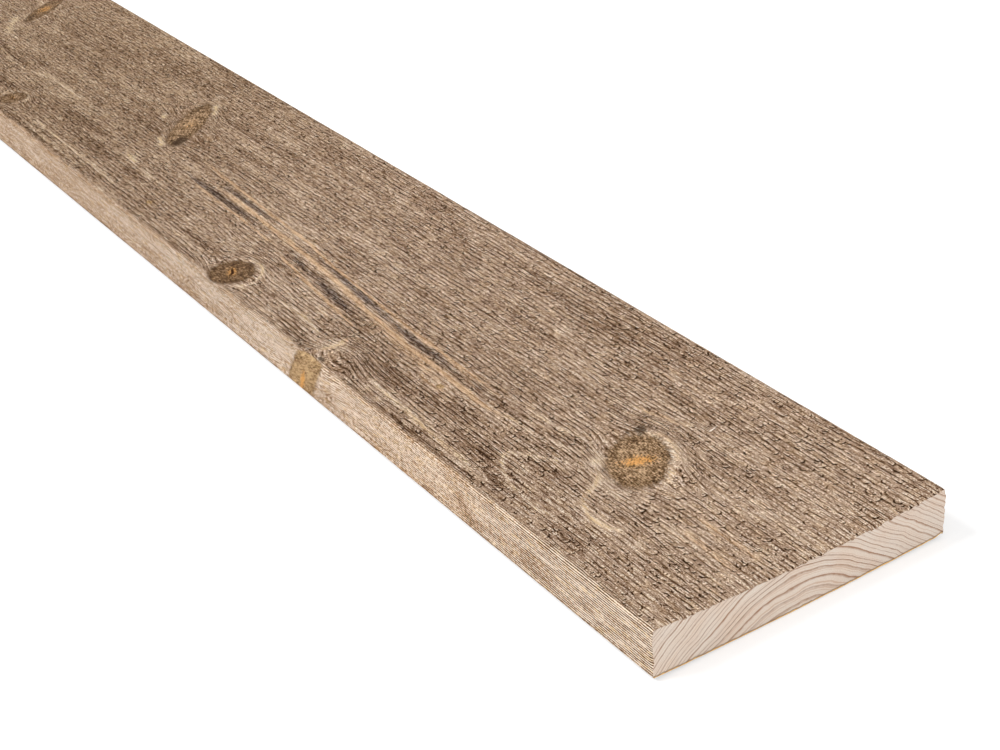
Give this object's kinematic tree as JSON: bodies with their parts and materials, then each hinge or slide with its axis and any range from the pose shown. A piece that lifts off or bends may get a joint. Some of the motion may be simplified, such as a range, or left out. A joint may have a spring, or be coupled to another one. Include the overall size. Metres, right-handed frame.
{
  "type": "cladding board",
  "caption": "Plain cladding board of rough-sawn, stained spruce with a slightly cupped face, eased arrises and square-cut bare ends.",
  "frame": {"origin": "middle of the board's length and width, on the lowest line of its back", "axes": "+X along the board, +Y across its width, +Z out of the sawn face, which lies upwards"},
  "size_m": [2.4, 0.145, 0.023],
  "materials": {
    "stained_sawn_spruce": "grey-brown stain on rough-sawn wood, matt",
    "bare_end_grain": "bare, fine-cut end grain, matt"
  },
  "bodies": {
    "root": {"board": "stained_sawn_spruce"}
  },
  "joints": []
}
